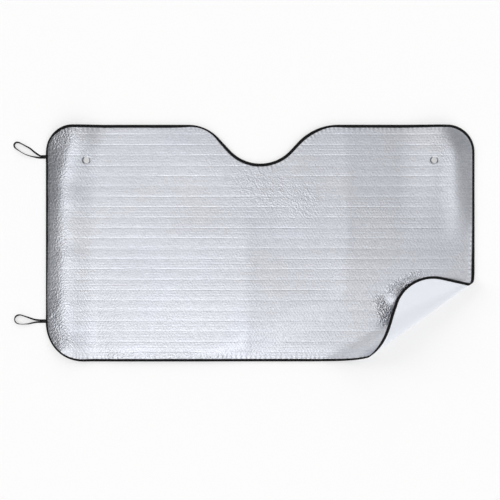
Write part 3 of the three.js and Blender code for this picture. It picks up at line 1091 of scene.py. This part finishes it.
def woven_tape():
    """Plain-woven polyester tape: matt, near black, with cross ribs drawn at 1.2 mm, about twice
    their real pitch, so that they show"""
    material, tree = new_material("woven_polyester_tape")
    flat = add_node(tree, "ShaderNodeAttribute", attribute_name="flat").outputs["Vector"]
    ribs = add_node(tree, "ShaderNodeTexWave", {"Vector": flat, "Scale": wave_scale(cross_rib_pitch)})
    threads = add_node(tree, "ShaderNodeTexWave", {"Vector": flat, "Scale": wave_scale(thread_pitch)},
                       bands_direction="Y")
    weave = add_node(tree, "ShaderNodeMath", {0: ribs.outputs["Fac"], 1: threads.outputs["Fac"]},
                     operation="MULTIPLY")
    fuzz = add_node(tree, "ShaderNodeTexNoise", {"Vector": flat, "Scale": grain_scale(fuzz_size),
                                                 "Detail": 2.0})
    colour = add_node(tree, "ShaderNodeMix", {"Factor": weave, 6: linear("#060607"),
                                              7: linear("#101012")}, data_type="RGBA")
    woven = add_node(tree, "ShaderNodeBump", {"Height": weave, "Distance": 0.00015, "Strength": 0.8})
    fuzzy = add_node(tree, "ShaderNodeBump", {"Height": fuzz, "Distance": 0.0001, "Strength": 0.5,
                                              "Normal": woven})
    surface = add_node(tree, "ShaderNodeBsdfPrincipled", {
        "Base Color": colour,
        "Roughness": 0.8,
        "Specular IOR Level": 0.3,
        "Sheen Weight": 0.03,
        "Sheen Roughness": 0.4,
        "Normal": fuzzy,
    })
    add_node(tree, "ShaderNodeOutputMaterial", {"Surface": surface})
    return material


def binding_mesh():
    """Sweeps the folded tape's section round the outline and lays it on the rolled panel"""
    widths = front_leg_width(station_x, station_y, station_distance)
    flat_rows = []
    place_rows = []
    for i in range(station_count):
        outer = tape_section(widths[i], 0.0)
        inner = tape_section(widths[i], tape_thickness)
        insets = np.concatenate([outer[0], inner[0][::-1]])
        heights = np.concatenate([outer[1], inner[1][::-1]])
        x = station_x[i] + insets * inward_x[i]
        y = station_y[i] + insets * inward_y[i]
        place_rows.append(np.column_stack([x, y, heights]))
        walk = np.concatenate([[0], np.cumsum(np.hypot(np.diff(insets), np.diff(heights)))])
        flat_rows.append(np.column_stack([np.full(len(walk), station_distance[i]), walk, 0 * walk]))
    x, y, heights = np.vstack(place_rows).T
    points = rolled(x, y, heights + stand_off(x, y))
    faces = skin(station_count, len(flat_rows[0]), closed=True)
    return points, faces, np.vstack(flat_rows)


binding_points, binding_faces, binding_flat = binding_mesh()
binding = new_piece("bound_edge_tape", binding_points, binding_faces, woven_tape(), binding_flat)
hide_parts("edge_binding")
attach(binding, "root")


# Stitching: one row of black polyester thread along each face of the binding, 5 mm to a stitch,
# pulled down into the tape's groove. Stitches are repeated along the seam.
stitch_pitch = 0.005
stitch_length = 0.0038
stitch_width = 0.0006
stitch_height = 0.0004
thread_twist_pitch = 0.0005
out_of_tape = 0.001


def seam_line(name, insets, heights, lift):
    """A closed line of edges along the seam, with the direction out of the tape at each point"""
    x = station_x + insets * inward_x
    y = station_y + insets * inward_y
    base = stand_off(x, y)
    places = rolled(x, y, heights + base)
    outward = unit(rolled(x, y, heights + base + lift) - places)
    mesh = bpy.data.meshes.new(name)
    edges = [(i, (i + 1) % station_count) for i in range(station_count)]
    mesh.from_pydata(places.tolist(), edges, [])
    direction = mesh.attributes.new("outward", "FLOAT_VECTOR", "POINT")
    direction.data.foreach_set("vector", outward.astype(np.float32).ravel())
    return new_object(name, mesh)


def stitch_tree():
    """Repeats one rounded stitch along a seam, lying along it with its flat side on the tape"""
    tree = bpy.data.node_groups.new("sewn_seam", "GeometryNodeTree")
    for name, kind in (("Seam", "NodeSocketGeometry"), ("Pitch", "NodeSocketFloat"),
                       ("Stitch Size", "NodeSocketVector"), ("Thread", "NodeSocketMaterial")):
        tree.interface.new_socket(name, in_out="INPUT", socket_type=kind)
    tree.interface.new_socket("Stitches", in_out="OUTPUT", socket_type="NodeSocketGeometry")
    given = add_node(tree, "NodeGroupInput").outputs
    curve = add_node(tree, "GeometryNodeMeshToCurve", {"Mesh": given["Seam"]})
    stops = add_node(tree, "GeometryNodeResampleCurve", {"Curve": curve, "Length": given["Pitch"]},
                     mode="LENGTH")
    ball = add_node(tree, "GeometryNodeMeshUVSphere", {"Segments": 6, "Rings": 4, "Radius": 0.5})
    tangent = add_node(tree, "GeometryNodeInputTangent")
    outward = add_node(tree, "GeometryNodeInputNamedAttribute", {"Name": "outward"},
                       data_type="FLOAT_VECTOR")
    upright = add_node(tree, "FunctionNodeAlignRotationToVector", {"Vector": outward}, axis="Z")
    turned = add_node(tree, "FunctionNodeAlignRotationToVector",
                      {"Rotation": upright, "Vector": tangent}, axis="X", pivot_axis="Z")
    stitches = add_node(tree, "GeometryNodeInstanceOnPoints", {
        "Points": stops,
        "Instance": ball,
        "Rotation": turned,
        "Scale": given["Stitch Size"],
    })
    real = add_node(tree, "GeometryNodeRealizeInstances", {"Geometry": stitches})
    black = add_node(tree, "GeometryNodeSetMaterial", {"Geometry": real, "Material": given["Thread"]})
    add_node(tree, "NodeGroupOutput", {"Stitches": black})
    return tree


def polyester_thread():
    """Twisted polyester sewing thread: black with a soft gloss, its twist drawn at 0.5 mm"""
    material, tree = new_material("polyester_thread")
    place = add_node(tree, "ShaderNodeTexCoord").outputs["Object"]
    twist = add_node(tree, "ShaderNodeTexWave",
                     {"Vector": place, "Scale": wave_scale(thread_twist_pitch)},
                     bands_direction="DIAGONAL")
    bump = add_node(tree, "ShaderNodeBump", {"Height": twist.outputs["Fac"], "Distance": 0.00006,
                                             "Strength": 0.6})
    surface = add_node(tree, "ShaderNodeBsdfPrincipled", {
        "Base Color": linear("#1a1b1e"),
        "Roughness": 0.5,
        "Normal": bump,
    })
    add_node(tree, "ShaderNodeOutputMaterial", {"Surface": surface})
    return material


def sewn(name, seam, tree, values, thread):
    """Runs the stitch tree on a seam and keeps its result as a plain mesh piece"""
    modifier = seam.modifiers.new("stitches", "NODES")
    modifier.node_group = tree
    for item in tree.interface.items_tree:
        if item.in_out == "INPUT" and item.name in values:
            modifier[item.identifier] = values[item.name]
    evaluated = seam.evaluated_get(bpy.context.evaluated_depsgraph_get())
    mesh = bpy.data.meshes.new_from_object(evaluated)
    mesh.materials.clear()
    mesh.materials.append(thread)
    mesh.shade_smooth()
    bpy.data.objects.remove(seam)
    return new_object(name, mesh)


thread = polyester_thread()
sewing = stitch_tree()
stitch_values = {
    "Pitch": stitch_pitch,
    "Stitch Size": (stitch_length, stitch_width, stitch_height),
    "Thread": thread,
}
front_insets = front_leg_width(station_x, station_y, station_distance) - seam_from_hem
front_heights = np.full(station_count, tape_high - seam_dip)
front_seam = seam_line("front_seam", front_insets, front_heights, out_of_tape)
back_insets = np.full(station_count, tape_width - seam_from_hem)
back_heights = np.full(station_count, seam_dip)
back_seam = seam_line("back_seam", back_insets, back_heights, -out_of_tape)
for name, seam in (("front_stitching", front_seam), ("back_stitching", back_seam)):
    stitching = sewn(name, seam, sewing, stitch_values, thread)
    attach(stitching, "root")


# Floor and light: a plain white floor, and a studio that is a smooth picture of light all round. The
# flat foil mirrors a broad light overhead and the dimmer ring round it, the margins mirror two dark
# flags, and the roll mirrors a strip of light. A weak soft key from the left gives the shadows.
floor_size = 14.0
floor_glow_share = 0.42      # of the floor's tone is its own light, where a ray looks at it
floor_glow_level = 0.99
ring_level = 0.46

# The walls below the ring. Their levels in reflections are those at the floor and at the wall's top.
wall_level = 1.85
wall_levels_in_reflections = (0.42, 1.10)
wall_start = math.cos(math.radians(52))
wall_full = math.cos(math.radians(62))

# Flags, each with its levels at its near end, towards -Y, and at its far end. The right one's foot
# is above the walls.
flag_edge = (0.36, 0.46)
flag_ends = (-0.15, 0.20)
left_flag_levels = (0.34, 0.05)
right_flag_levels = (0.62, 0.22)
right_flag_foot = (0.60, 0.72)

# The strip runs slantwise at the upper left
strip_across = (0.81, 0.59, 0)
strip_along = (-0.59, 0.81, 0)
strip_middle = 0.06
strip_reach = (0.26, 0.14)
strip_start = (0.10, 0.25)
strip_level = 0.95

# The light overhead grows stronger to the lower left, where a lamp adds to it
overhead_axis = Vector((0.0, -0.03, 1)).normalized()
overhead_edge = (math.cos(math.radians(26)), math.cos(math.radians(15)))
overhead_slant = (-1.15, -1.05, 1.0)
overhead_level = 0.94
lamp_axis = Vector((-0.15, -0.36, 1)).normalized()
lamp_edge = (math.cos(math.radians(20)), math.cos(math.radians(5)))
lamp_level = 1.05
key_direction = Vector((-0.88, 0.38, 0.42))
key_strength = 1.25
key_spread = math.radians(34)

floor_mesh = bpy.data.meshes.new("floor")
half = floor_size / 2
floor_mesh.from_pydata([(-half, -half, 0), (half, -half, 0), (half, half, 0), (-half, half, 0)], [],
                       [(0, 1, 2, 3)])
floor_material, floor_tree = new_material("white_floor")
white_surface = add_node(floor_tree, "ShaderNodeBsdfDiffuse", {"Color": linear("#fdfdfd")})
white_glow = add_node(floor_tree, "ShaderNodeEmission", {"Strength": floor_glow_level})
ray = add_node(floor_tree, "ShaderNodeLightPath").outputs
looked_at = add_node(floor_tree, "ShaderNodeMath", {0: ray["Is Camera Ray"], 1: ray["Is Glossy Ray"]},
                     operation="MAXIMUM")
seen = add_node(floor_tree, "ShaderNodeMath", {0: looked_at, 1: ray["Is Transmission Ray"]},
                operation="MAXIMUM")
glow_share = add_node(floor_tree, "ShaderNodeMath", {0: seen, 1: floor_glow_share},
                      operation="MULTIPLY")
floor_surface = add_node(floor_tree, "ShaderNodeMixShader",
                         {0: glow_share, 1: white_surface, 2: white_glow})
add_node(floor_tree, "ShaderNodeOutputMaterial", {"Surface": floor_surface})
floor_mesh.materials.append(floor_material)
floor = new_object("floor", floor_mesh)

world = bpy.data.worlds.new("studio")
world.use_nodes = True
world_tree = world.node_tree
world_tree.nodes.clear()
direction = add_node(world_tree, "ShaderNodeTexCoord").outputs["Generated"]
towards = add_node(world_tree, "ShaderNodeSeparateXYZ", {"Vector": direction}).outputs


def facing(axis, edge, level=1.0):
    """Rises from 0 to a level as directions turn to an axis, between the two cosines of an edge"""
    cosine = add_node(world_tree, "ShaderNodeVectorMath", {0: direction, 1: axis},
                      operation="DOT_PRODUCT")
    return add_node(world_tree, "ShaderNodeMapRange", {
        "Value": cosine,
        "From Min": edge[0],
        "From Max": edge[1],
        "To Max": level,
    }, interpolation_type="SMOOTHSTEP")


reflected = add_node(world_tree, "ShaderNodeLightPath").outputs["Is Glossy Ray"]
reflected_wall = add_node(world_tree, "ShaderNodeMapRange", {
    "Value": towards["Z"],
    "From Min": 0.0,
    "From Max": wall_full,
    "To Min": wall_levels_in_reflections[0],
    "To Max": wall_levels_in_reflections[1],
})
wall = add_node(world_tree, "ShaderNodeMix", {"Factor": reflected, 2: wall_level, 3: reflected_wall})
walls = add_node(world_tree, "ShaderNodeMapRange", {
    "Value": towards["Z"],
    "From Min": wall_full,
    "From Max": wall_start,
    "To Min": wall,
    "To Max": ring_level,
}, interpolation_type="SMOOTHSTEP")

right_flag = add_node(world_tree, "ShaderNodeMath", {
    0: facing((1, 0, 0), flag_edge),
    1: facing((0, 0, 1), right_flag_foot),
}, operation="MULTIPLY")
left_flag_shade, right_flag_shade = (
    add_node(world_tree, "ShaderNodeMapRange", {
        "Value": towards["Y"],
        "From Min": flag_ends[0],
        "From Max": flag_ends[1],
        "To Min": near,
        "To Max": far,
    })
    for near, far in (left_flag_levels, right_flag_levels)
)

across_strip = add_node(world_tree, "ShaderNodeVectorMath", {0: direction, 1: strip_across},
                        operation="DOT_PRODUCT")
from_strip = add_node(world_tree, "ShaderNodeMath", {0: across_strip, 1: strip_middle},
                      operation="SUBTRACT")
off_strip = add_node(world_tree, "ShaderNodeMath", {0: from_strip}, operation="ABSOLUTE")
within_strip = add_node(world_tree, "ShaderNodeMapRange", {
    "Value": off_strip,
    "From Min": strip_reach[0],
    "From Max": strip_reach[1],
}, interpolation_type="SMOOTHSTEP")
strip = add_node(world_tree, "ShaderNodeMath", {0: within_strip, 1: facing(strip_along, strip_start)},
                 operation="MULTIPLY")

slanted = add_node(world_tree, "ShaderNodeVectorMath", {0: direction, 1: overhead_slant},
                   operation="DOT_PRODUCT")
overhead = add_node(world_tree, "ShaderNodeMath", {0: slanted, 1: overhead_level},
                    operation="MULTIPLY")

# Each light or flag covers what comes before it, and the lamp is added to them all
level = walls
for cover, cover_level in (
    (facing((-1, 0, 0), flag_edge), left_flag_shade),
    (right_flag, right_flag_shade),
    (strip, strip_level),
    (facing(overhead_axis, overhead_edge), overhead),
):
    level = add_node(world_tree, "ShaderNodeMix", {"Factor": cover, 2: level, 3: cover_level})
lamp = facing(lamp_axis, lamp_edge, lamp_level)
lit = add_node(world_tree, "ShaderNodeMath", {0: level, 1: lamp}, operation="ADD")
background = add_node(world_tree, "ShaderNodeBackground", {"Color": (1, 1, 1, 1), "Strength": lit})
add_node(world_tree, "ShaderNodeOutputWorld", {"Surface": background})
scene.world = world

key_data = bpy.data.lights.new("key", "SUN")
key_data.energy = key_strength
key_data.angle = key_spread
key = new_object("key", key_data)
key.visible_glossy = False
key.rotation_euler = key_direction.to_track_quat("Z", "Y").to_euler()
